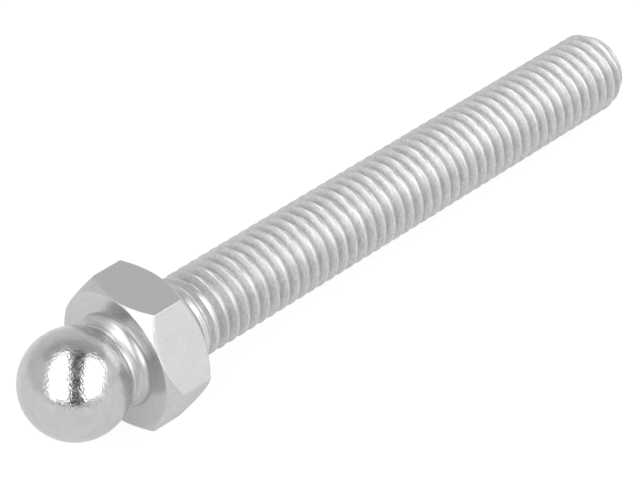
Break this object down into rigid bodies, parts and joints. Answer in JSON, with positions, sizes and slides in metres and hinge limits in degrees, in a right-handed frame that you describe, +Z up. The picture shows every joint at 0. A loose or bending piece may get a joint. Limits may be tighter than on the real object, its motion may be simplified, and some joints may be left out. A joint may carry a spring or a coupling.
{
  "type": "ball-ended levelling stud",
  "caption": "Steel levelling stud: a ball on a short neck, a hexagon collar fixed against the neck's rim, and a long threaded rod.",
  "frame": {"origin": "centre of the ball", "axes": "+X along the stud from the ball towards the free end of the thread, +Z up through the middle of one flat of the hexagon, so the stud lies level as on a table"},
  "size_m": [0.074, 0.015, 0.013],
  "materials": {
    "stud_steel": "bright zinc plate, semi-polished on the ball and satin on the rolled thread",
    "collar_steel": "satin zinc plate over drawn flats and turned faces"
  },
  "bodies": {
    "root": {"ball_stud": "stud_steel", "hex_collar": "collar_steel"}
  },
  "joints": []
}
